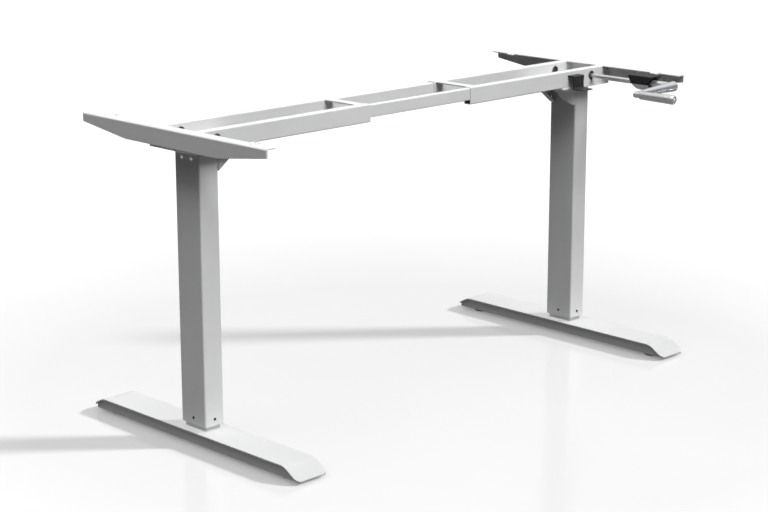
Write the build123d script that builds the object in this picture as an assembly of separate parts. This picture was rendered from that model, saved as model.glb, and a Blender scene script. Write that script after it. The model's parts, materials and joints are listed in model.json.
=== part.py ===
from build123d import *
import os

# Height-adjustable desk frame driven by a hand crank.  Millimetres, Z up, floor at Z = 0.
# Everything is drawn with Y = 0 on the leg axes and moved by LEG_Y when it is written.
# Side pieces are drawn for the +X (right) side and mirrored for the left.

LEG_X = 597.5
LEG_Y = 47.0
TOP_Z = 684.5

# Telescopic column: outer tube over inner tube.
OUTER_X, OUTER_Y = 50.0, 80.0
INNER_X, INNER_Y = 40.0, 70.0
TUBE_R = 4.0
TUBE_WALL = 2.0
OUTER_Z0, OUTER_Z1 = 43.0, 641.5
INNER_Z0, INNER_Z1 = 33.0, 598.0
GAP = 0.3
BUSH_Z0, BUSH_Z1 = 44.0, 84.0
GLIDE_Z0 = 560.0
BUSH_SCREW_Z = 58.0
STRAP_SCREW_Z = 621.0
STRAP_SCREW_Y = 15.0
COLUMN_SCREW_R = 2.0

# Cradle plate that carries the rails on top of the column.
PLATE_Z0, PLATE_Z1 = 641.5, 644.5
PLATE_X0, PLATE_X1 = 487.0, 664.0
PLATE_Y = 70.0
LIP_DEPTH, LIP_T = 1.8, 3.0
CHEEK_Y = 40.0
CHEEK_T = 2.5
CHEEK_X1 = 572.5
FOLD_LONG, FOLD_SHORT = 15.0, 9.0

# Side bracket under the desktop edge.
SIDE_X0, SIDE_X1 = 662.5, 665.0
SIDE_Y = 299.0
SIDE_BEND = 4.0
SIDE_CORNER = 4.0
FLANGE_X0 = 640.0
FLANGE_Z0 = 682.0
EAR_X0 = 628.0
EAR_Y = 230.0
DESK_HOLE_X = 652.5
DESK_HOLE_Y = 235.0
DESK_HOLE_R = 3.25

# Telescopic rails.
RAIL_Y = 58.0
RAIL_W, RAIL_H = 20.0, 40.0
RAIL_R = 2.5
RAIL_X0, RAIL_X1 = 161.0, 662.5
SLIDE_W, SLIDE_H = 15.4, 28.0
SLIDE_R = 2.0
SLIDE_X = 400.0
SLIDE_Z1 = 682.2
PAD_X0, PAD_X1 = 161.5, 201.0
PAD_W = 15.8
LOCK_X, LOCK_Y = 225.0, 56.0
LOCK_R = 3.0
CROSS_X0, CROSS_X1 = 166.0, 190.0
CROSS_T = 3.0

# Drive: bevel gears whose pitch cones meet at one point in each gearbox, ratio 2 : 1.
DRIVE_Y = -20.0
DRIVE_Z = 665.5
CASE_X = 21.5
CASE_Y0, CASE_Y1 = -46.0, 0.0
CASE_WALL = 1.6
CASE_TOP, CASE_REAR_TOP = 677.0, 668.0
PINION_NEAR, PINION_FAR = 10.0, 14.0
MESH_GAP = 0.2
PINION_HUB_R = 6.0
SPIGOT_R = 3.0
JOURNAL_R = 5.0
RUN_GAP = 0.05
SCREW_R = 8.0
SCREW_Z0 = 110.0
BEARING_R = 11.0
BEARING_Z1 = 648.5
NUT_Z0 = 568.0
NUT_R = 12.0
SHAFT_IN, SHAFT_OUT = 160.0, 560.0
SHAFT_R = 6.0
HEX_AF = 8.0
HEX_GAP = 0.1

# Crank.
ROD_R = 5.25
ROD_END = -312.0
SLEEVE_R = 9.0
SLEEVE_Y0 = -215.0
ARM_Y = -316.0
ARM_X1 = 602.5
ARM_R0, ARM_R1 = 6.0, 12.6
GRIP_X = 455.0
CRANK_SWING = -1.1
HUB_R = 7.2
HUB_Y0, HUB_Y1 = -331.0, -314.0
GRIP_Y0, GRIP_Y1 = -429.0, -331.3
GRIP_R0, GRIP_R1 = 11.2, 9.8
AXLE_R = 3.0
AXLE_HEAD_R = 4.5
AXLE_HEAD = 2.0
AXLE_GRIP = 12.0
GUIDE_R = 16.0
GUIDE_TOP = (24.5, -267.0, -199.0)
GUIDE_FOOT = (20.5, -249.0, -207.0)
GUIDE_Z0 = 663.0
GUIDE_HOLE_X = 19.5
GUIDE_HOLES_Y = (-243.0, -215.0)
CRADLE_R0, CRADLE_R1 = 15.5, 18.0
CRADLE_Y0, CRADLE_Y1 = -254.0, -208.0
HOOK_X0, HOOK_X1 = 508.0, 546.0

# Feet.
FOOT_X = 42.0
FOOT_TOP = 33.0
FOOT_T = 3.5
FOOT_FLAT = (-305.5, 301.0)
FRONT_TOE = (-345.5, 8.0)
REAR_TOE = (335.0, 14.5)
FOOT_R = 12.0
WEB_INSET = 4.0
WEB_T = 2.5
WEB_Z0 = 7.0
BOSS_R, BOSS_Z0 = 9.0, 14.5
TOE_R = 40.0
LEVEL_Y = (-290.0, 277.0)
LEVEL_R = 28.0
STEM_R = 4.0
FOOT_SCREW_X, FOOT_SCREW_Y = 11.0, 25.0

BASE = (Align.CENTER, Align.CENTER, Align.MIN)


def block(x0, x1, y0, y1, z0, z1):
    """Box between two opposite corners."""
    return Pos(x0, y0, z0) * Box(x1 - x0, y1 - y0, z1 - z0, align=(Align.MIN,) * 3)


def rod_x(radius, x0, x1, y=DRIVE_Y, z=DRIVE_Z):
    """Round bar along X."""
    return Pos(x0, y, z) * Rot(0, 90, 0) * Cylinder(radius, x1 - x0, align=BASE)


def rod_y(radius, y0, y1, x=LEG_X, z=DRIVE_Z):
    """Round bar along Y."""
    return Pos(x, y0, z) * Rot(-90, 0, 0) * Cylinder(radius, y1 - y0, align=BASE)


def rod_z(radius, z0, z1, x=LEG_X, y=DRIVE_Y):
    """Round bar along Z."""
    return Pos(x, y, z0) * Cylinder(radius, z1 - z0, align=BASE)


def across(outline, radii, x0, x1):
    """Plate with an outline of (y, z) corners between x0 and x1."""
    face = make_face(FilletPolyline(*outline, radius=radii, close=True))
    return extrude(Plane.YZ.offset(x0) * face, x1 - x0)


def along(outline, radii, y0, y1):
    """Plate with an outline of (x, z) corners between y0 and y1."""
    face = make_face(FilletPolyline(*outline, radius=radii, close=True))
    return extrude(Plane.XZ.offset(-y1) * face, y1 - y0)


def upright(width, depth, radius, z0, z1):
    """Rounded rectangular bar standing on the leg axis."""
    return extrude(Pos(LEG_X, 0, z0) * RectangleRounded(width, depth, radius), z1 - z0)


def column_screw_spots():
    """Bush screw places: position on each face of the outer tube, and the turn about Z."""
    return (
        (LEG_X + OUTER_X / 2, 0.0, 0.0),
        (LEG_X, OUTER_Y / 2, 90.0),
        (LEG_X - OUTER_X / 2, 0.0, 180.0),
        (LEG_X, -OUTER_Y / 2, 270.0),
    )


def outer_tube():
    """Outer column tube with its screw holes."""
    tube = upright(OUTER_X, OUTER_Y, TUBE_R, OUTER_Z0, OUTER_Z1)
    bore_x = OUTER_X - 2 * TUBE_WALL
    bore_y = OUTER_Y - 2 * TUBE_WALL
    tube = tube - upright(bore_x, bore_y, TUBE_R - TUBE_WALL, OUTER_Z0, OUTER_Z1)
    for x, y, turn in column_screw_spots():
        hole = Rot(0, 90, 0) * Cylinder(COLUMN_SCREW_R, 2 * TUBE_WALL + 1)
        tube = tube - Pos(x, y, BUSH_SCREW_Z) * Rot(0, 0, turn) * hole
    for y in (-STRAP_SCREW_Y, STRAP_SCREW_Y):
        x0 = LEG_X + OUTER_X / 2 - TUBE_WALL - 1
        tube = tube - rod_x(COLUMN_SCREW_R + 0.5, x0, x0 + TUBE_WALL + 2, y, STRAP_SCREW_Z)
    return tube


def inner_tube():
    """Inner column tube with a threaded end plate for the foot screws."""
    bore_x = INNER_X - 2 * TUBE_WALL
    bore_y = INNER_Y - 2 * TUBE_WALL
    tube = upright(INNER_X, INNER_Y, TUBE_R, INNER_Z0, INNER_Z1)
    tube = tube - upright(bore_x, bore_y, TUBE_R - TUBE_WALL, INNER_Z0 + 5, INNER_Z1)
    for x in (-FOOT_SCREW_X, FOOT_SCREW_X):
        for y in (-FOOT_SCREW_Y, FOOT_SCREW_Y):
            tube = tube - rod_z(3.0, INNER_Z0 - 1, INNER_Z0 + 6, LEG_X + x, y)
    return tube


def tube_bush():
    """Nylon collar inside the foot end of the outer tube."""
    bore_x = OUTER_X - 2 * TUBE_WALL
    bore_y = OUTER_Y - 2 * TUBE_WALL
    collar = upright(bore_x, bore_y, TUBE_R - TUBE_WALL, BUSH_Z0, BUSH_Z1)
    hole = upright(INNER_X + 2 * GAP, INNER_Y + 2 * GAP, TUBE_R + GAP, BUSH_Z0, BUSH_Z1)
    collar = collar - hole
    for x, y, turn in column_screw_spots():
        hole = Rot(0, 90, 0) * Cylinder(COLUMN_SCREW_R, 10)
        collar = collar - Pos(x, y, BUSH_SCREW_Z) * Rot(0, 0, turn) * hole
    return collar


def inner_glides():
    """Nylon collar round the top of the inner tube."""
    size_x = OUTER_X - 2 * TUBE_WALL - 2 * GAP
    size_y = OUTER_Y - 2 * TUBE_WALL - 2 * GAP
    collar = upright(size_x, size_y, TUBE_R - TUBE_WALL - GAP, GLIDE_Z0, INNER_Z1)
    return collar - upright(INNER_X, INNER_Y, TUBE_R, GLIDE_Z0, INNER_Z1)


def bush_screws():
    """Four small screws that hold the bush, one in each face."""
    group = Part()
    for x, y, turn in column_screw_spots():
        head = Rot(0, 90, 0) * Cylinder(3.2, 1.2, align=BASE)
        head = chamfer(head.edges().group_by(Axis.X)[-1], 0.5)
        shank = Rot(0, -90, 0) * Cylinder(COLUMN_SCREW_R, 4.4, align=BASE)
        group = group + Pos(x, y, BUSH_SCREW_Z) * Rot(0, 0, turn) * (head + shank)
    return group


def strap_screws():
    """Two screws in the outward face near the top of the column."""
    group = Part()
    face_x = LEG_X + OUTER_X / 2
    for y in (-STRAP_SCREW_Y, STRAP_SCREW_Y):
        head = rod_x(4.5, face_x, face_x + 2.4, y, STRAP_SCREW_Z)
        head = chamfer(head.edges().group_by(Axis.X)[-1], 0.8)
        shank = rod_x(COLUMN_SCREW_R + 0.5, face_x - 3.5, face_x, y, STRAP_SCREW_Z)
        group = group + (head + shank)
    return group


def screw_nut():
    """Threaded nut block that closes the top of the inner tube."""
    plate_x = INNER_X - 2 * TUBE_WALL
    plate_y = INNER_Y - 2 * TUBE_WALL
    nut = upright(plate_x, plate_y, TUBE_R - TUBE_WALL, INNER_Z1 - 12, INNER_Z1)
    nut = nut + rod_z(NUT_R, NUT_Z0, INNER_Z1)
    return nut - rod_z(SCREW_R + RUN_GAP, NUT_Z0 - 1, INNER_Z1 + 1)


def cheek(outline, radii, side, fold):
    """Cheek plate under the cradle with its lower edge folded inwards."""
    wall = sorted((side * (CHEEK_Y - CHEEK_T), side * CHEEK_Y))
    wide = sorted((side * (CHEEK_Y - fold), side * CHEEK_Y))
    flange = along(outline, radii, *wide)
    flange = flange - Pos(0.6 * CHEEK_T, 0, 0.8 * CHEEK_T) * along(outline, radii, *wide)
    return along(outline, radii, *wall) + flange


def support_bracket():
    """Folded plate on the column top with two cheeks welded to the tube."""
    plate = block(PLATE_X0, PLATE_X1, -PLATE_Y, PLATE_Y, PLATE_Z0, PLATE_Z1)
    plate = fillet(plate.edges().filter_by(Axis.Z), 1.5)
    lip = (
        (PLATE_X0 + 2, PLATE_Z0),
        (PLATE_X0 + 5, PLATE_Z0 - LIP_DEPTH),
        (PLATE_X1 - 5, PLATE_Z0 - LIP_DEPTH),
        (PLATE_X1 - 2, PLATE_Z0),
    )
    for side in (-1, 1):
        edge = sorted((side * (PLATE_Y - LIP_T), side * PLATE_Y))
        plate = plate + along(lip, 0, *edge)
    swept = (
        (PLATE_X0 + 1, PLATE_Z0),
        (511.0, 629.5),
        (541.0, 602.5),
        (566.0, 591.4),
        (CHEEK_X1, 591.4),
        (CHEEK_X1, PLATE_Z0),
    )
    straight = (
        (505.0, PLATE_Z0),
        (CHEEK_X1 - 1.5, 591.0),
        (CHEEK_X1 - 1.5, 605.0),
        (CHEEK_X1, 606.0),
        (CHEEK_X1, PLATE_Z0),
    )
    plate = plate + cheek(swept, (0, 12, 60, 8, 0, 0), -1, FOLD_SHORT)
    return plate + cheek(straight, 0, 1, FOLD_LONG)


def side_profile():
    """Folded angle along Y, trimmed to its outline and to rounded corners in plan."""
    fold = (
        (SIDE_X0, PLATE_Z1),
        (SIDE_X0, FLANGE_Z0),
        (FLANGE_X0, FLANGE_Z0),
        (FLANGE_X0, TOP_Z),
        (SIDE_X1, TOP_Z),
        (SIDE_X1, PLATE_Z1),
    )
    outline = (
        (-SIDE_Y, TOP_Z),
        (-SIDE_Y, 665.5),
        (-150.0, 645.5),
        (150.0, 645.5),
        (SIDE_Y, 665.5),
        (SIDE_Y, TOP_Z),
    )
    width = SIDE_X1 - FLANGE_X0
    plan = Pos((FLANGE_X0 + SIDE_X1) / 2, 0, PLATE_Z1) * RectangleRounded(
        width, 2 * SIDE_Y, SIDE_CORNER
    )
    inner_bend = SIDE_BEND - (SIDE_X1 - SIDE_X0)
    bracket = along(fold, (0, inner_bend, 0, 0, SIDE_BEND, 0), -SIDE_Y, SIDE_Y)
    bracket = bracket & across(outline, (0, 5, 20, 20, 5, 0), FLANGE_X0, SIDE_X1)
    return bracket & extrude(plan, TOP_Z - PLATE_Z1)


def side_bracket():
    """Angle across the end of the rails that the desktop is screwed to."""
    bracket = side_profile()
    for y in (-EAR_Y, EAR_Y):
        ear = block(EAR_X0, FLANGE_X0 + 1, y - 10, y + 10, FLANGE_Z0, TOP_Z)
        bracket = bracket + fillet(ear.edges().filter_by(Axis.Z).group_by(Axis.X)[0], 5)
        bracket = bracket - rod_z(DESK_HOLE_R, FLANGE_Z0 - 1, TOP_Z + 1, EAR_X0 + 7, y)
    for y in (-DESK_HOLE_Y, DESK_HOLE_Y):
        bracket = bracket - rod_z(DESK_HOLE_R, FLANGE_Z0 - 1, TOP_Z + 1, DESK_HOLE_X, y)
    for side in (-1, 1):
        y0, y1 = sorted((side * (RAIL_Y - RAIL_W / 2), side * (RAIL_Y + RAIL_W / 2)))
        notch = block(FLANGE_X0 - 1, RAIL_X1, y0, y1, PLATE_Z1, TOP_Z + 1)
        bracket = bracket - notch
    return bracket


def rail_tube(width, height, radius, x0, x1, y, z0):
    """Rounded rectangular tube along X."""
    place = Plane.YZ.offset(x0) * Pos(y, z0 + height / 2)
    skin = RectangleRounded(width, height, radius)
    bore_size = (width - 2 * TUBE_WALL, height - 2 * TUBE_WALL)
    bore = RectangleRounded(*bore_size, max(radius - TUBE_WALL, 0.5))
    return extrude(place * (skin - bore), x1 - x0)


def outer_rail(side):
    """Outer rail, front (side -1) or rear (side 1)."""
    y = side * RAIL_Y
    rail = rail_tube(RAIL_W, RAIL_H, RAIL_R, RAIL_X0, RAIL_X1, y, PLATE_Z1)
    rail = rail - rod_y(BEARING_R, y - RAIL_W, y + RAIL_W)
    return rail - rod_z(LOCK_R, PLATE_Z1 - 1, PLATE_Z1 + 3, LOCK_X, side * LOCK_Y)


def inner_rail(side):
    """Inner rail that telescopes in both outer rails."""
    z0 = SLIDE_Z1 - SLIDE_H
    return rail_tube(SLIDE_W, SLIDE_H, SLIDE_R, -SLIDE_X, SLIDE_X, side * RAIL_Y, z0)


def rail_glides():
    """Nylon pads in the mouths of the outer rails, under the inner rails."""
    group = Part()
    z0 = PLATE_Z1 + TUBE_WALL
    z1 = SLIDE_Z1 - SLIDE_H - GAP
    for side in (-1, 1):
        y = side * RAIL_Y
        pad = block(PAD_X0, PAD_X1, y - PAD_W / 2, y + PAD_W / 2, z0, z1)
        pad = chamfer(pad.edges().group_by(Axis.Z)[-1], 0.6)
        group = group + chamfer(pad.edges().group_by(Axis.Z)[0], 0.6)
    return group


def lock_screws():
    """Socket set screws in the undersides of the outer rails."""
    group = Part()
    foot = PLATE_Z1 + 0.1
    tip = SLIDE_Z1 - SLIDE_H - GAP
    for side in (-1, 1):
        y = side * LOCK_Y
        screw = rod_z(LOCK_R, foot, tip, LOCK_X, y)
        socket = extrude(Pos(LOCK_X, y, foot) * RegularPolygon(1.7, 6), 3)
        group = group + (screw - socket)
    return group


def cross_member():
    """Flat bar welded between the front and rear outer rails."""
    inner = RAIL_Y - RAIL_W / 2
    return block(CROSS_X0, CROSS_X1, -inner, inner, TOP_Z - CROSS_T, TOP_Z)


def gearbox_case(crank_hole):
    """Sheet cover over the bevel gears, open below on the cradle plate."""
    x0, x1 = LEG_X - CASE_X, LEG_X + CASE_X
    outline = (
        (CASE_Y0, PLATE_Z1),
        (CASE_Y0, CASE_TOP),
        (CASE_Y0 + 19, CASE_TOP),
        (CASE_Y1, CASE_REAR_TOP),
        (CASE_Y1, PLATE_Z1),
    )
    wall = CASE_WALL
    cavity = (
        (CASE_Y0 + wall, PLATE_Z1),
        (CASE_Y0 + wall, CASE_TOP - wall),
        (CASE_Y0 + 18.7, CASE_TOP - wall),
        (CASE_Y1 - wall, CASE_REAR_TOP - 1.2),
        (CASE_Y1 - wall, PLATE_Z1),
    )
    case = across(outline, (0, 2, 2, 2, 0), x0, x1)
    case = case - across(cavity, (0, 1, 1, 1, 0), x0 + wall, x1 - wall)
    case = case - rod_x(JOURNAL_R + RUN_GAP, x0 - 1, x0 + wall + 1)
    if crank_hole:
        case = case - rod_y(ROD_R + RUN_GAP, CASE_Y0 - 1, CASE_Y0 + wall + 1)
    return case


def screw_bearing():
    """Thrust bearing of the lead screw, seated in the cradle plate."""
    body = rod_z(BEARING_R, PLATE_Z0, BEARING_Z1)
    return body - rod_z(JOURNAL_R + RUN_GAP, PLATE_Z0 - 1, BEARING_Z1 + 1)


def lead_screw():
    """Lead screw with its journal."""
    gear_top = DRIVE_Z - PINION_NEAR / 2 - MESH_GAP
    return rod_z(SCREW_R, SCREW_Z0, PLATE_Z0 - 0.5) + rod_z(JOURNAL_R, PLATE_Z0 - 0.5, gear_top)


def screw_gear():
    """Bevel gear on the lead screw, drawn as its pitch cone."""
    z_far = DRIVE_Z - PINION_FAR / 2 - MESH_GAP
    z_near = DRIVE_Z - PINION_NEAR / 2 - MESH_GAP
    cone = Cone(PINION_FAR, PINION_NEAR, z_near - z_far, align=BASE)
    gear = Pos(LEG_X, DRIVE_Y, z_far) * cone
    gear = gear + rod_z(PINION_FAR, z_far - 3, z_far)
    gear = gear + rod_z(7.0, BEARING_Z1 + GAP, z_far - 3)
    return gear - rod_z(JOURNAL_R, BEARING_Z1, z_near + 1)


def cross_pinion():
    """Bevel pinion of the cross shaft, drawn as its pitch cone."""
    far_x = LEG_X - PINION_FAR
    cone = Cone(PINION_FAR / 2, PINION_NEAR / 2, PINION_FAR - PINION_NEAR, align=BASE)
    pinion = Pos(far_x, DRIVE_Y, DRIVE_Z) * Rot(0, 90, 0) * cone
    hub_x = LEG_X - CASE_X + CASE_WALL + GAP
    pinion = pinion + rod_x(PINION_HUB_R, hub_x, far_x)
    return pinion - rod_x(SPIGOT_R, hub_x - 1, LEG_X)


def crank_pinion():
    """Bevel pinion on the crank rod, drawn as its pitch cone."""
    far_y = DRIVE_Y - PINION_FAR
    cone = Cone(PINION_FAR / 2, PINION_NEAR / 2, PINION_FAR - PINION_NEAR, align=BASE)
    pinion = Pos(LEG_X, far_y, DRIVE_Z) * Rot(-90, 0, 0) * cone
    hub_y = CASE_Y0 + CASE_WALL + GAP
    pinion = pinion + rod_y(PINION_HUB_R, hub_y, far_y)
    return pinion - rod_y(SPIGOT_R, hub_y - 1, DRIVE_Y)


def shaft_end():
    """Journal and spigot at the gearbox end of either cross shaft."""
    hub_x = LEG_X - CASE_X + CASE_WALL + GAP
    return rod_x(JOURNAL_R, SHAFT_OUT, hub_x) + rod_x(SPIGOT_R, hub_x, LEG_X - PINION_NEAR)


def hexagon_x(across_flats, x0, x1):
    """Hexagonal bar along X on the drive line."""
    hexagon = RegularPolygon(across_flats / 2, 6, major_radius=False)
    return extrude(Plane.YZ.offset(x0) * Pos(DRIVE_Y, DRIVE_Z) * hexagon, x1 - x0)


def hex_shaft():
    """Right half of the cross shaft: hexagonal rod."""
    return hexagon_x(HEX_AF, -SHAFT_IN, SHAFT_OUT) + shaft_end()


def tube_shaft():
    """Left half of the cross shaft: tube with a hexagonal bore."""
    tube = rod_x(SHAFT_R, -SHAFT_OUT, SHAFT_IN)
    tube = tube - hexagon_x(HEX_AF + 2 * HEX_GAP, -SHAFT_OUT + 3, SHAFT_IN + 1)
    return tube + mirror(shaft_end(), about=Plane.YZ)


def crank_rod():
    """Crank rod from the pinion out under the desktop edge."""
    hub_y = CASE_Y0 + CASE_WALL + GAP
    return rod_y(ROD_R, ROD_END, hub_y) + rod_y(SPIGOT_R, hub_y, DRIVE_Y - PINION_NEAR)


def handle_arm():
    """Sleeve over the rod, tapered arm and the hub that carries the grip."""
    sleeve = rod_y(SLEEVE_R, ARM_Y, SLEEVE_Y0)
    taper = Cone(ARM_R0, ARM_R1, ARM_X1 - GRIP_X + 1, align=BASE)
    taper = fillet(taper.edges().group_by(Axis.Z)[-1], 2.2)
    taper = fillet(taper.edges().group_by(Axis.Z)[0], 2.5)
    arm = Pos(GRIP_X - 1, ARM_Y, DRIVE_Z) * Rot(0, 90, 0) * taper
    hub = rod_y(HUB_R, HUB_Y0, HUB_Y1, GRIP_X)
    hub = chamfer(hub.edges().group_by(Axis.Y)[-1], 1)
    arm = sleeve + arm + hub
    arm = arm - rod_y(ROD_R + RUN_GAP, ROD_END - 1, SLEEVE_Y0 + 1)
    return arm - rod_y(AXLE_R, HUB_Y0 - 1, HUB_Y0 + AXLE_GRIP, GRIP_X)


def grip_axle():
    """Axle bolt through the grip with a low head at its end."""
    head_y = GRIP_Y0 + AXLE_HEAD
    head = rod_y(AXLE_HEAD_R, GRIP_Y0, head_y, GRIP_X)
    head = chamfer(head.edges().group_by(Axis.Y)[0], 0.5)
    return head + rod_y(AXLE_R, head_y, HUB_Y0 + AXLE_GRIP, GRIP_X)


def crank_grip():
    """Tapered grip that spins on its axle."""
    taper = Cone(GRIP_R0, GRIP_R1, GRIP_Y1 - GRIP_Y0, align=BASE)
    taper = fillet(taper.edges().group_by(Axis.Z)[0], 5.5)
    taper = fillet(taper.edges().group_by(Axis.Z)[-1], 1.8)
    grip = Pos(GRIP_X, GRIP_Y0, DRIVE_Z) * Rot(-90, 0, 0) * taper
    grip = grip - rod_y(AXLE_R + RUN_GAP, GRIP_Y0, GRIP_Y1, GRIP_X)
    return grip - rod_y(AXLE_HEAD_R + GAP, GRIP_Y0, GRIP_Y0 + AXLE_HEAD + GAP, GRIP_X)


def swing(shape):
    """Turn a crank piece about the rod so that the arm rests a little below level."""
    turn = Pos(LEG_X, 0, DRIVE_Z) * Rot(0, CRANK_SWING, 0) * Pos(-LEG_X, 0, -DRIVE_Z)
    return turn * shape


def crank_guide():
    """Plastic saddle that screws under the desktop over the crank sleeve."""
    faces = Sketch()
    for (half, y0, y1), z in ((GUIDE_FOOT, GUIDE_Z0), (GUIDE_TOP, TOP_Z)):
        faces = faces + Pos(LEG_X, (y0 + y1) / 2, z) * Rectangle(2 * half, y1 - y0)
    hood = loft(faces)
    hood = fillet(hood.edges().group_by(Axis.Z)[-1], 1.5)
    hood = hood - rod_y(GUIDE_R, GUIDE_TOP[1] - 1, GUIDE_TOP[2] + 1)
    for x in (-GUIDE_HOLE_X, GUIDE_HOLE_X):
        for y in GUIDE_HOLES_Y:
            hood = hood - rod_z(2.2, GUIDE_Z0 - 1, TOP_Z + 1, LEG_X + x, y)
    return hood


def guide_cradle():
    """Half-round metal shell that closes the guide from below."""
    shell = rod_y(CRADLE_R1, CRADLE_Y0, CRADLE_Y1) - rod_y(CRADLE_R0, CRADLE_Y0, CRADLE_Y1)
    upper = block(LEG_X - 20, LEG_X + 20, CRADLE_Y0, CRADLE_Y1, GUIDE_Z0, DRIVE_Z + 20)
    slant = (
        (CRADLE_Y1 - 15, 645.0),
        (CRADLE_Y1, 660.0),
        (CRADLE_Y1 + 5, 660.0),
        (CRADLE_Y1 + 5, 645.0),
    )
    return shell - upper - across(slant, 0, LEG_X - 20, LEG_X + 20)


def stow_hook():
    """Bent strip on the front rail that the folded crank arm parks in."""
    front = -RAIL_Y - RAIL_W / 2
    outline = (
        (front, 674.5),
        (front - 20, 674.5),
        (front - 18.5, 658.0),
        (front - 19.5, 644.0),
        (front - 47, 643.3),
        (front - 47, 640.6),
        (front - 16, 640.6),
        (front - 15.3, 658.0),
        (front - 16.5, 671.5),
        (front, 671.5),
    )
    return across(outline, (0, 2, 20, 3, 1, 1, 4, 20, 9, 0), HOOK_X0, HOOK_X1)


def foot_plan(inset):
    """Upright rounded rectangle that trims the foot pieces in plan."""
    length = REAR_TOE[0] - FRONT_TOE[0] - 2 * inset
    middle = (REAR_TOE[0] + FRONT_TOE[0]) / 2
    plan = RectangleRounded(2 * (FOOT_X - inset), length, FOOT_R - inset)
    return extrude(Pos(LEG_X, middle) * plan, FOOT_TOP + 5)


def foot_skin():
    """Foot plate without its bosses and holes."""
    under = FOOT_TOP - FOOT_T
    outline = (
        REAR_TOE,
        (FOOT_FLAT[1], FOOT_TOP),
        (FOOT_FLAT[0], FOOT_TOP),
        FRONT_TOE,
        (FRONT_TOE[0], FRONT_TOE[1] - FOOT_T),
        (FOOT_FLAT[0] + 1, under),
        (FOOT_FLAT[1] - 1, under),
        (REAR_TOE[0], REAR_TOE[1] - FOOT_T),
    )
    bend = TOE_R - FOOT_T
    radii = (1, TOE_R, TOE_R, 1, 1, bend, bend, 1)
    return across(outline, radii, LEG_X - FOOT_X, LEG_X + FOOT_X) & foot_plan(0)


def foot_plate():
    """Top plate of the foot with sloping toes and two threaded bosses below."""
    under = FOOT_TOP - FOOT_T
    plate = foot_skin()
    for y in LEVEL_Y:
        plate = plate + rod_z(BOSS_R, BOSS_Z0, under + 0.5, LEG_X, y)
        plate = plate - rod_z(STEM_R + RUN_GAP, BOSS_Z0 - 1, under, LEG_X, y)
    for x in (-FOOT_SCREW_X, FOOT_SCREW_X):
        for y in (-FOOT_SCREW_Y, FOOT_SCREW_Y):
            plate = plate - rod_z(3.0, under - 1, FOOT_TOP + 1, LEG_X + x, y)
    return plate


def foot_web():
    """Folded skirt under the foot plate, following the slope of the toes."""
    under = FOOT_TOP - FOOT_T
    front = FOOT_FLAT[0] - 25
    rear = FOOT_FLAT[1] + 28
    half = FOOT_X - WEB_INSET
    web = block(LEG_X - half, LEG_X + half, front, rear, WEB_Z0, under)
    web = fillet(web.edges().filter_by(Axis.Z), 6)
    bore = block(LEG_X - half + WEB_T, LEG_X + half - WEB_T, front + 8, rear - 8, WEB_Z0, under)
    web = web - fillet(bore.edges().filter_by(Axis.Z), 4)
    above_toes = across(
        (
            (front - 20, FRONT_TOE[1] - FOOT_T - 12),
            (FOOT_FLAT[0] + 1, under),
            (FOOT_FLAT[1] - 1, under),
            (rear + 20, REAR_TOE[1] - FOOT_T - 8),
            (rear + 20, under + 20),
            (front - 20, under + 20),
        ),
        0,
        LEG_X - FOOT_X,
        LEG_X + FOOT_X,
    )
    return web - above_toes - foot_skin()


def foot_screws():
    """Four screws from below into the end plate of the inner tube."""
    group = Part()
    under = FOOT_TOP - FOOT_T
    for x in (-FOOT_SCREW_X, FOOT_SCREW_X):
        for y in (-FOOT_SCREW_Y, FOOT_SCREW_Y):
            head = rod_z(5.0, under - 3, under, LEG_X + x, y)
            head = chamfer(head.edges().group_by(Axis.Z)[0], 0.8)
            group = group + (head + rod_z(3.0, under, INNER_Z0 + 5, LEG_X + x, y))
    return group


def leveler(y):
    """Levelling foot: disc, collar and threaded stem."""
    disc = rod_z(LEVEL_R, 0, 8, LEG_X, y)
    disc = chamfer(disc.edges().group_by(Axis.Z)[-1], 2.5)
    disc = chamfer(disc.edges().group_by(Axis.Z)[0], 1)
    collar = rod_z(10.0, 8, 12, LEG_X, y)
    return disc + collar + rod_z(STEM_R, 12, FOOT_TOP - FOOT_T - GAP, LEG_X, y)


def save(name, shape):
    """Move a finished shape to the frame and write it."""
    export_step(Pos(0, LEG_Y, 0) * shape, "parts/" + name + ".step")


def save_pair(name, shape):
    """Write a right-hand piece and its mirror image."""
    save("right_" + name, shape)
    save("left_" + name, mirror(shape, about=Plane.YZ))


os.makedirs("parts", exist_ok=True)
save_pair("outer_tube", outer_tube())
save_pair("inner_tube", inner_tube())
save_pair("tube_bush", tube_bush())
save_pair("inner_glides", inner_glides())
save_pair("bush_screws", bush_screws())
save_pair("strap_screws", strap_screws())
save_pair("screw_nut", screw_nut())
bearing_seat = rod_z(BEARING_R, PLATE_Z0 - 1, PLATE_Z1 + 1)
save("right_support_bracket", support_bracket() - bearing_seat)
save(
    "left_support_bracket",
    Rot(0, 0, 180) * support_bracket() - mirror(bearing_seat, about=Plane.YZ),
)
save_pair("side_bracket", side_bracket())
save_pair("front_outer_rail", outer_rail(-1))
save_pair("rear_outer_rail", outer_rail(1))
save_pair("rail_glides", rail_glides())
save_pair("lock_screws", lock_screws())
save_pair("cross_member", cross_member())
save_pair("screw_bearing", screw_bearing())
save_pair("lead_screw", lead_screw())
save_pair("screw_gear", screw_gear())
save_pair("cross_pinion", cross_pinion())
save_pair("foot_plate", foot_plate())
save_pair("foot_web", foot_web())
save_pair("foot_screws", foot_screws())
save_pair("leveler_front", leveler(LEVEL_Y[0]))
save_pair("leveler_rear", leveler(LEVEL_Y[1]))
save("right_gearbox_case", gearbox_case(True))
save("left_gearbox_case", mirror(gearbox_case(False), about=Plane.YZ))
save("front_inner_rail", inner_rail(-1))
save("rear_inner_rail", inner_rail(1))
save("hex_shaft", hex_shaft())
save("tube_shaft", tube_shaft())
save("crank_rod", crank_rod())
save("crank_pinion", crank_pinion())
save("handle_arm", swing(handle_arm()))
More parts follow.
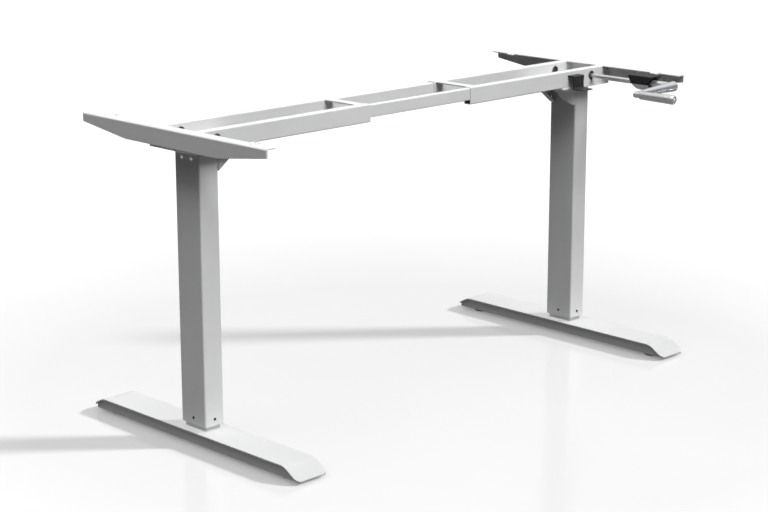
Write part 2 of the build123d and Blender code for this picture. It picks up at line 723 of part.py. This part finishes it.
save("grip_axle", swing(grip_axle()))
save("crank_grip", swing(crank_grip()))
save("crank_guide", crank_guide())
save("guide_cradle", guide_cradle())
save("stow_hook", stow_hook())
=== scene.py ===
import json
import math
import bmesh
import bpy
from mathutils import Matrix, Vector


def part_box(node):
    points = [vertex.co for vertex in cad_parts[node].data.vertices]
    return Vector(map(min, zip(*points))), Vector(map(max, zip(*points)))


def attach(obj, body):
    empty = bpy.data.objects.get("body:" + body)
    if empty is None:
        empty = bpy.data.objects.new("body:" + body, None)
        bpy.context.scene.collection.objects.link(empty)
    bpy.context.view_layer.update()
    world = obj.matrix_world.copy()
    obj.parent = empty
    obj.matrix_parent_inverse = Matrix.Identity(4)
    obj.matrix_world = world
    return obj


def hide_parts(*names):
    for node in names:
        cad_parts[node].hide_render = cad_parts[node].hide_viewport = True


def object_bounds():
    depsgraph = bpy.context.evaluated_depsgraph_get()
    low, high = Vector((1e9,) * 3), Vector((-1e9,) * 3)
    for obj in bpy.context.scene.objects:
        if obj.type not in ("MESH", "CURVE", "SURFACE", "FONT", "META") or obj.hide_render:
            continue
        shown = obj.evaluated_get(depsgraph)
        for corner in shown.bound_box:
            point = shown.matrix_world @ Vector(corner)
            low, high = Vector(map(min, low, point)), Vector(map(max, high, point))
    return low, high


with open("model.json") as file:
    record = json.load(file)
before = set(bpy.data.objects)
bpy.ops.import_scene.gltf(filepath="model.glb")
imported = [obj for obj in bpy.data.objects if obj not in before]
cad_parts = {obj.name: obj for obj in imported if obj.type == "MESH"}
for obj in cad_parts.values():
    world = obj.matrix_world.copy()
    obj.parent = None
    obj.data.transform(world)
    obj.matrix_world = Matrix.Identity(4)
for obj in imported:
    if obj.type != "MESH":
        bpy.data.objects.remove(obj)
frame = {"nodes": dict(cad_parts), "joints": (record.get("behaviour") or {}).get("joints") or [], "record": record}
cad_box = [list(corner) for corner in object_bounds()]
FLOOR_Z = cad_box[0][2]
MM = 0.001

# Sky: strength at the walls and overhead, for diffuse light and for mirrored light.
SKY_POWER, SKY_WALL, SKY_TOP = 3.0, 0.02, 0.3
SKY_GLOSS_WALL, SKY_GLOSS_TOP = 0.08, 1.6

# Lamps: azimuth from +X, elevation, strength, angular size.  Angles are in degrees.
KEY = (-100.0, 62.0, 5.05, 44.0)
FOOT_KEY = (90.0, 80.0, 2.2, 44.0)
FOOT_SIDE = (-41.0, 32.0, 2.2, 7.0)
FOOT_FILL = (180.0, 20.0, 0.22, 60.0)
FILL = (176.0, 62.0, 0.36, 40.0)
FLOOR_KEY = (-41.0, 32.0, 5.0, 7.0)
FLOOR_WASH = (180.0, 80.0, 1.9, 120.0)
LOW_NODE_Z = 0.2

# Floor: half size, drop below the feet, and its glow near the frame, far off and in mirrors.
FLOOR_HALF, FLOOR_DROP = 40.0, 0.0005
GLOW_NEAR_M, GLOW_FAR_M = 0.9, 2.6
GLOW_NEAR, GLOW_FAR, GLOW_MIRRORED = 0.26, 0.64, 0.35
FLOOR_BOUNCE = (0.02, 0.02, 0.02)

# Camera: azimuth from +X, elevation and roll in degrees, place in metres, lens and sensor in mm.
CAMERA_AZIMUTH, CAMERA_ELEVATION, CAMERA_ROLL = -134.65, 14.15, -0.08
CAMERA_PLACE = (-3.0444, -2.9812, 1.3838)
CAMERA_LENS, CAMERA_SENSOR = 89.56, 36.0

# Turned pieces, in millimetres.
SEGMENTS = 48
SHARP_ANGLE = 32
SCREW_SHANK, SCREW_SHANK_R = 3.5, 2.0
SCREW_HEAD, SCREW_HEAD_R, SCREW_RIM = 2.4, 4.5, 0.35
SCREW_CROWN_R, SCREW_CHAMFER_R = 1.9, 1.7
SOCKET_R, SOCKET_Z = 1.35, 0.9
GRIP_R0, GRIP_R1 = 11.2, 9.8
GRIP_END_R, GRIP_ROOT_R = 5.5, 1.8
GRIP_BORE, GRIP_RECESS, GRIP_RECESS_DEPTH = 3.05, 4.6, 2.1
GROOVE_AT, GROOVE_WIDTH, GROOVE_DEPTH = 19.0, 1.4, 0.6


# ---------------------------------------------------------------- materials
def new_material(name):
    mat = bpy.data.materials.new(name)
    mat.use_nodes = True
    tree = mat.node_tree
    tree.nodes.clear()
    out = tree.nodes.new("ShaderNodeOutputMaterial")
    shader = tree.nodes.new("ShaderNodeBsdfPrincipled")
    tree.links.new(shader.outputs["BSDF"], out.inputs["Surface"])
    return mat, tree, shader


def object_coords(tree, scale=(1, 1, 1)):
    coords = tree.nodes.new("ShaderNodeTexCoord")
    mapping = tree.nodes.new("ShaderNodeMapping")
    mapping.inputs["Scale"].default_value = scale
    tree.links.new(coords.outputs["Object"], mapping.inputs["Vector"])
    return mapping.outputs["Vector"]


def noise(tree, vector, scale, detail=3.0):
    node = tree.nodes.new("ShaderNodeTexNoise")
    node.inputs["Scale"].default_value = scale
    node.inputs["Detail"].default_value = detail
    node.inputs["Roughness"].default_value = 0.5
    tree.links.new(vector, node.inputs["Vector"])
    return node.outputs["Fac"]


def ramp(tree, fac, low_stop, high_stop):
    """Colour ramp between two stops of (position, colour)."""
    node = tree.nodes.new("ShaderNodeValToRGB")
    for element, (position, color) in zip(node.color_ramp.elements, (low_stop, high_stop)):
        element.position = position
        element.color = (*color, 1)
    tree.links.new(fac, node.inputs["Fac"])
    return node.outputs["Color"]


def remap(tree, fac, low_in, high_in, low_out, high_out):
    """Linear map from one range to another, clamped."""
    node = tree.nodes.new("ShaderNodeMapRange")
    node.inputs["From Min"].default_value = low_in
    node.inputs["From Max"].default_value = high_in
    node.inputs["To Min"].default_value = low_out
    node.inputs["To Max"].default_value = high_out
    tree.links.new(fac, node.inputs["Value"])
    return node.outputs["Result"]


def mix(tree, fac, a, b):
    """Colour between a and b; each is a socket or a plain colour."""
    node = tree.nodes.new("ShaderNodeMix")
    node.data_type = "RGBA"
    tree.links.new(fac, node.inputs[0])
    for value, socket in ((a, node.inputs[6]), (b, node.inputs[7])):
        if isinstance(value, bpy.types.NodeSocket):
            tree.links.new(value, socket)
        else:
            socket.default_value = (*value, 1)
    return node.outputs[2]


def scaled(color, factor, lift=0.0):
    return tuple(factor * c + lift for c in color)


def rounded_normal(tree, radius):
    node = tree.nodes.new("ShaderNodeBevel")
    node.samples = 6
    node.inputs["Radius"].default_value = radius
    return node.outputs["Normal"]


def bump(tree, shader, heights, bevel):
    """Chains height maps of (socket, strength, distance) over a rounded normal."""
    normal = rounded_normal(tree, bevel)
    for height, strength, distance in heights:
        node = tree.nodes.new("ShaderNodeBump")
        node.inputs["Strength"].default_value = strength
        node.inputs["Distance"].default_value = distance
        tree.links.new(height, node.inputs["Height"])
        tree.links.new(normal, node.inputs["Normal"])
        normal = node.outputs["Normal"]
    tree.links.new(normal, shader.inputs["Normal"])


def edge_mask(tree, radius):
    """1 along sharp edges, 0 on flats: how far a rounded normal leans from the true one."""
    rounded = rounded_normal(tree, radius)
    true = tree.nodes.new("ShaderNodeNewGeometry")
    dot = tree.nodes.new("ShaderNodeVectorMath")
    dot.operation = "DOT_PRODUCT"
    tree.links.new(rounded, dot.inputs[0])
    tree.links.new(true.outputs["True Normal"], dot.inputs[1])
    return remap(tree, dot.outputs["Value"], 0.995, 0.85, 0.0, 1.0)


def powder_coat():
    """Pale grey textured coating, with a painted highlight along its edges."""
    mat, tree, shader = new_material("powder_coat")
    vec = object_coords(tree)
    tint = noise(tree, vec, 5.0, 4.0)
    color = ramp(tree, tint, (0.3, (0.60, 0.605, 0.61)), (0.7, (0.66, 0.663, 0.667)))
    fleck = noise(tree, vec, 900.0, 2.0)
    color = mix(tree, remap(tree, fleck, 0.55, 0.75, 0.0, 0.25), color, (0.74, 0.745, 0.75))
    # Painted highlight: the coat is lightened along sharp edges, standing in for light caught by rounded edges.
    painted_coat_edge_highlight = edge_mask(tree, 1.2 * MM)
    color = mix(tree, remap(tree, painted_coat_edge_highlight, 0.0, 1.0, 0.0, 0.35), color, (0.8, 0.8, 0.8))
    tree.links.new(color, shader.inputs["Base Color"])
    shader.inputs["Specular IOR Level"].default_value = 0.35
    rough = remap(tree, noise(tree, vec, 40.0, 4.0), 0.3, 0.7, 0.48, 0.58)
    tree.links.new(rough, shader.inputs["Roughness"])
    shader.inputs["Coat Weight"].default_value = 0.06
    shader.inputs["Coat Roughness"].default_value = 0.3
    peel = noise(tree, vec, 700.0, 2.0)
    grain = noise(tree, vec, 2600.0, 1.0)
    bump(tree, shader, ((peel, 0.12, 0.4 * MM), (grain, 0.1, 0.1 * MM)), bevel=0.6 * MM)
    return mat


def metal(name, color, rough, brushed_axis=None, metallic=1.0):
    """Metal with faint smudges, brushed along one axis of the piece where that is given."""
    mat, tree, shader = new_material(name)
    scale = [60.0, 60.0, 60.0]
    if brushed_axis is not None:
        scale = [1800.0, 1800.0, 1800.0]
        scale[brushed_axis] = 14.0
    brush = noise(tree, object_coords(tree, scale), 1.0, 2.0)
    smudge = noise(tree, object_coords(tree), 22.0, 4.0)
    tone = mix(tree, remap(tree, smudge, 0.35, 0.65, 0.0, 1.0), color, scaled(color, 0.90))
    tone = mix(tree, remap(tree, brush, 0.3, 0.7, 0.0, 0.25), tone, scaled(color, 0.6))
    tree.links.new(tone, shader.inputs["Base Color"])
    shader.inputs["Metallic"].default_value = metallic
    roughness = remap(tree, smudge, 0.3, 0.7, rough - 0.06, rough + 0.08)
    tree.links.new(roughness, shader.inputs["Roughness"])
    bump(tree, shader, ((brush, 0.1, 0.1 * MM),), bevel=0.4 * MM)
    return mat


def plastic(name, color, rough):
    """Dark grained plastic, with a painted highlight along its edges."""
    mat, tree, shader = new_material(name)
    vec = object_coords(tree)
    cloud = noise(tree, vec, 30.0, 4.0)
    tone = mix(tree, remap(tree, cloud, 0.35, 0.7, 0.0, 1.0), color, scaled(color, 1.6, 0.004))
    # Painted highlight: the plastic is lightened along sharp edges, standing in for light caught by rounded edges.
    painted_plastic_edge_highlight = edge_mask(tree, 0.8 * MM)
    tone = mix(tree, remap(tree, painted_plastic_edge_highlight, 0.0, 1.0, 0.0, 0.5), tone, scaled(color, 2.5, 0.01))
    tree.links.new(tone, shader.inputs["Base Color"])
    roughness = remap(tree, cloud, 0.3, 0.7, rough - 0.07, rough + 0.07)
    tree.links.new(roughness, shader.inputs["Roughness"])
    shader.inputs["Specular IOR Level"].default_value = 0.3
    grain = noise(tree, vec, 1400.0, 2.0)
    bump(tree, shader, ((grain, 0.25, 0.15 * MM),), bevel=0.5 * MM)
    return mat


materials = {
    "powder_coat": powder_coat(),
    "silver_metal": metal("silver_metal", (0.49, 0.495, 0.51), 0.25, brushed_axis=1, metallic=0.8),
    "zinc_steel": metal("zinc_steel", (0.90, 0.90, 0.89), 0.26, metallic=0.9),
    "bare_steel": metal("bare_steel", (0.50, 0.50, 0.51), 0.35, brushed_axis=2),
    "black_steel": metal("black_steel", (0.05, 0.05, 0.055), 0.45),
    "black_nylon": plastic("black_nylon", (0.010, 0.010, 0.011), 0.6),
    "black_plastic": plastic("black_plastic", (0.006, 0.006, 0.0065), 0.5),
    "bronze": metal("bronze", (0.55, 0.38, 0.16), 0.38),
}
slots = {entry["node"]: entry["material_slot"] for entry in frame["record"]["subparts"]}
for name, obj in frame["nodes"].items():
    obj.data.materials.clear()
    obj.data.materials.append(materials[slots[name]])


# ---------------------------------------------------------------- turned pieces
def turned(name, profile, origin, axis, slot, body):
    """Revolves (radius, height, hexagonal) points in mm about an axis into one closed piece."""
    made = bmesh.new()
    rings = []
    for radius, height, hexagonal in profile:
        ring = []
        for step in range(SEGMENTS if radius else 1):
            turn = math.tau * step / SEGMENTS
            reach = radius
            if hexagonal:
                reach = radius / math.cos(turn % (math.pi / 3) - math.pi / 6)
            spot = (reach * math.cos(turn), reach * math.sin(turn), height)
            ring.append(made.verts.new([c * MM for c in spot]))
        rings.append(ring)
    for a, b in zip(rings, rings[1:]):
        for step in range(SEGMENTS):
            after = (step + 1) % SEGMENTS
            corners = [a[step % len(a)], a[after % len(a)], b[after % len(b)], b[step % len(b)]]
            made.faces.new(dict.fromkeys(corners))
    if len(rings[0]) > 1:
        for step in range(SEGMENTS):
            after = (step + 1) % SEGMENTS
            made.faces.new([rings[-1][step], rings[-1][after], rings[0][after], rings[0][step]])
    bmesh.ops.recalc_face_normals(made, faces=made.faces)
    for face in made.faces:
        face.smooth = True
    mesh = bpy.data.meshes.new(name)
    made.to_mesh(mesh)
    made.free()
    mesh.set_sharp_from_angle(angle=math.radians(SHARP_ANGLE))
    mesh.materials.append(materials[slot])
    piece = bpy.data.objects.new(name, mesh)
    turn = Vector(axis).to_track_quat("Z", "Y").to_matrix().to_4x4()
    piece.matrix_world = Matrix.Translation(origin) @ turn
    bpy.context.scene.collection.objects.link(piece)
    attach(piece, body)
    return piece


def screw_outline():
    """Shank, domed head and hexagonal socket of a column screw, with the seat at height 0."""
    outline = [
        (0, -SCREW_SHANK, False),
        (SCREW_SHANK_R, -SCREW_SHANK, False),
        (SCREW_SHANK_R, 0, False),
        (SCREW_HEAD_R, 0, False),
        (SCREW_HEAD_R, SCREW_RIM, False),
    ]
    for step in range(1, 9):
        lean = math.radians(10 * step)
        spread = SCREW_CROWN_R + (SCREW_HEAD_R - SCREW_CROWN_R) * math.cos(lean)
        rise = SCREW_RIM + (SCREW_HEAD - SCREW_RIM - 0.02) * math.sin(lean)
        outline.append((spread, rise, False))
    return outline + [
        (SCREW_CHAMFER_R, SCREW_HEAD - 0.05, False),
        (SOCKET_R, SCREW_HEAD - 0.15, True),
        (SOCKET_R, SOCKET_Z, True),
        (0, SOCKET_Z - 0.1, False),
    ]


def strap_screw_heads(side, outward):
    """Two domed socket screws near the top of a column, in place of the flat ones."""
    node = side + "_strap_screws"
    start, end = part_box(node)
    seat = end.x - SCREW_HEAD * MM if outward > 0 else start.x + SCREW_HEAD * MM
    for number, y in enumerate((start.y + SCREW_HEAD_R * MM, end.y - SCREW_HEAD_R * MM), 1):
        origin = Vector((seat, y, (start.z + end.z) / 2))
        name = f"{side}_strap_screw_{number}"
        body = side + "_upper"
        turned(name, screw_outline(), origin, (outward, 0, 0), "zinc_steel", body)
    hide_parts(node)


def grip_sleeve():
    """Crank grip with a rounded end, a ring groove and a recess for its axle's head."""
    joint = next(j for j in frame["joints"] if j["name"] == "grip_spin")
    start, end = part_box("crank_grip")
    length = (end.y - start.y) / MM

    def reach(height):
        return GRIP_R0 + (GRIP_R1 - GRIP_R0) * height / length

    outline = [(GRIP_RECESS, 0, False)]
    for step in range(9):
        lean = math.radians(90 * step / 8)
        spread = reach(GRIP_END_R) - GRIP_END_R + GRIP_END_R * math.sin(lean)
        outline.append((spread, GRIP_END_R * (1 - math.cos(lean)), False))
    for height, depth in ((-0.5, 0), (-0.35, 1), (0.35, 1), (0.5, 0)):
        spot = GROOVE_AT + height * GROOVE_WIDTH
        outline.append((reach(spot) - depth * GROOVE_DEPTH, spot, False))
    for step in range(5):
        lean = math.radians(90 * step / 4)
        spread = reach(length) - GRIP_ROOT_R + GRIP_ROOT_R * math.cos(lean)
        outline.append((spread, length - GRIP_ROOT_R + GRIP_ROOT_R * math.sin(lean), False))
    outline += [(GRIP_BORE, length, False), (GRIP_BORE, GRIP_RECESS_DEPTH, False)]
    outline.append((GRIP_RECESS, GRIP_RECESS_DEPTH, False))
    origin = Vector((joint["pos_m"][0], start.y, joint["pos_m"][2]))
    sleeve = turned("grip_sleeve", outline, origin, (0, 1, 0), "silver_metal", "grip")
    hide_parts("crank_grip")


strap_screw_heads("left", -1)
strap_screw_heads("right", 1)
grip_sleeve()


# ---------------------------------------------------------------- floor
def floor_material():
    """Pale glossy floor that lightens with distance; its glow shows to the eye and in mirrors."""
    mat, tree, shader = new_material("floor")
    vec = object_coords(tree)
    tint = noise(tree, vec, 1.3)
    pale = ramp(tree, tint, (0.3, (0.42, 0.42, 0.42)), (0.7, (0.44, 0.44, 0.44)))
    path = tree.nodes.new("ShaderNodeLightPath")
    color = mix(tree, path.outputs["Is Camera Ray"], FLOOR_BOUNCE, pale)
    tree.links.new(color, shader.inputs["Base Color"])
    reach = tree.nodes.new("ShaderNodeVectorMath")
    reach.operation = "LENGTH"
    tree.links.new(vec, reach.inputs[0])
    glow = remap(tree, reach.outputs["Value"], GLOW_NEAR_M, GLOW_FAR_M, GLOW_NEAR, GLOW_FAR)
    seen = tree.nodes.new("ShaderNodeMath")
    seen.operation = "MULTIPLY"
    tree.links.new(glow, seen.inputs[0])
    tree.links.new(path.outputs["Is Camera Ray"], seen.inputs[1])
    mirrored = tree.nodes.new("ShaderNodeMath")
    mirrored.operation = "MULTIPLY_ADD"
    tree.links.new(path.outputs["Is Glossy Ray"], mirrored.inputs[0])
    mirrored.inputs[1].default_value = GLOW_MIRRORED
    tree.links.new(seen.outputs["Value"], mirrored.inputs[2])
    tree.links.new(mirrored.outputs["Value"], shader.inputs["Emission Strength"])
    shader.inputs["Emission Color"].default_value = (1.0, 1.0, 1.0, 1.0)
    rough = remap(tree, noise(tree, vec, 6.0), 0.3, 0.7, 0.10, 0.13)
    tree.links.new(rough, shader.inputs["Roughness"])
    shader.inputs["Specular IOR Level"].default_value = 0.3
    return mat


def make_floor():
    mesh = bpy.data.meshes.new("floor")
    made = bmesh.new()
    bmesh.ops.create_grid(made, x_segments=8, y_segments=8, size=FLOOR_HALF)
    made.to_mesh(mesh)
    made.free()
    floor = bpy.data.objects.new("floor", mesh)
    floor.location = (0, 0, FLOOR_Z - FLOOR_DROP)
    mesh.materials.append(floor_material())
    bpy.context.scene.collection.objects.link(floor)
    return floor


# ---------------------------------------------------------------- light
def make_world():
    """Studio ceiling: bright overhead, fading to dim walls."""
    world = bpy.data.worlds.new("studio")
    bpy.context.scene.world = world
    world.use_nodes = True
    tree = world.node_tree
    coords = tree.nodes.new("ShaderNodeTexCoord")
    split = tree.nodes.new("ShaderNodeSeparateXYZ")
    tree.links.new(coords.outputs["Generated"], split.inputs["Vector"])
    height = tree.nodes.new("ShaderNodeMath")
    height.operation = "POWER"
    tree.links.new(remap(tree, split.outputs["Z"], 0.0, 1.0, 0.0, 1.0), height.inputs[0])
    height.inputs[1].default_value = SKY_POWER
    diffuse = remap(tree, height.outputs["Value"], 0.0, 1.0, SKY_WALL, SKY_TOP)
    glossy = remap(tree, split.outputs["Z"], 0.15, 0.75, SKY_GLOSS_WALL, SKY_GLOSS_TOP)
    path = tree.nodes.new("ShaderNodeLightPath")
    strength = tree.nodes.new("ShaderNodeMix")
    tree.links.new(path.outputs["Is Glossy Ray"], strength.inputs["Factor"])
    tree.links.new(diffuse, strength.inputs["A"])
    tree.links.new(glossy, strength.inputs["B"])
    background = tree.nodes["Background"]
    tree.links.new(strength.outputs["Result"], background.inputs["Strength"])
    background.inputs["Color"].default_value = (1.0, 1.0, 1.0, 1.0)


def direction(azimuth, elevation):
    """Unit vector at an azimuth from +X and an elevation, both in degrees."""
    turn, rise = math.radians(azimuth), math.radians(elevation)
    return Vector((
        math.cos(turn) * math.cos(rise),
        math.sin(turn) * math.cos(rise),
        math.sin(rise),
    ))


def collected(name, pieces):
    collection = bpy.data.collections.new(name)
    for obj in pieces:
        collection.objects.link(obj)
    return collection


def sun(name, azimuth, elevation, strength, size, receivers=(), blockers=()):
    """Distant lamp that may light only some pieces, and be shaded only by some."""
    data = bpy.data.lights.new(name, "SUN")
    data.energy = strength
    data.angle = math.radians(size)
    lamp = bpy.data.objects.new(name, data)
    back = direction(azimuth, elevation)
    lamp.rotation_euler = back.to_track_quat("Z", "Y").to_euler()
    bpy.context.scene.collection.objects.link(lamp)
    if receivers:
        lamp.light_linking.receiver_collection = collected(name + "_receivers", receivers)
    if blockers:
        lamp.light_linking.blocker_collection = collected(name + "_blockers", blockers)


floor = make_floor()
make_world()
feet = [obj for name, obj in frame["nodes"].items() if "foot_" in name]
upper_pieces = [
    obj for obj in bpy.data.objects if obj.type == "MESH" and obj not in feet and obj is not floor
]
low_nodes = [obj for name, obj in frame["nodes"].items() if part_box(name)[0][2] < LOW_NODE_Z]
sun("key", *KEY, receivers=upper_pieces)
sun("foot_key", *FOOT_KEY, receivers=feet, blockers=feet)
sun("foot_side", *FOOT_SIDE, receivers=feet)
sun("foot_fill", *FOOT_FILL, receivers=feet)
sun("fill", *FILL)
sun("floor_key", *FLOOR_KEY, receivers=[floor], blockers=low_nodes)
sun("floor_wash", *FLOOR_WASH, receivers=[floor], blockers=low_nodes)


# ---------------------------------------------------------------- camera
def make_camera():
    roll = math.radians(CAMERA_ROLL)
    back = direction(CAMERA_AZIMUTH, CAMERA_ELEVATION)
    right = (-back).cross(Vector((0, 0, 1))).normalized()
    up = right.cross(-back)
    right, up = (
        right * math.cos(roll) + up * math.sin(roll),
        up * math.cos(roll) - right * math.sin(roll),
    )
    data = bpy.data.cameras.new("camera")
    data.sensor_width = CAMERA_SENSOR
    data.lens = CAMERA_LENS
    camera = bpy.data.objects.new("camera", data)
    turn = Matrix((right, up, back)).transposed().to_4x4()
    camera.matrix_world = Matrix.Translation(CAMERA_PLACE) @ turn
    bpy.context.scene.collection.objects.link(camera)
    bpy.context.scene.camera = camera


make_camera()
bpy.context.scene.view_settings.view_transform = "Standard"
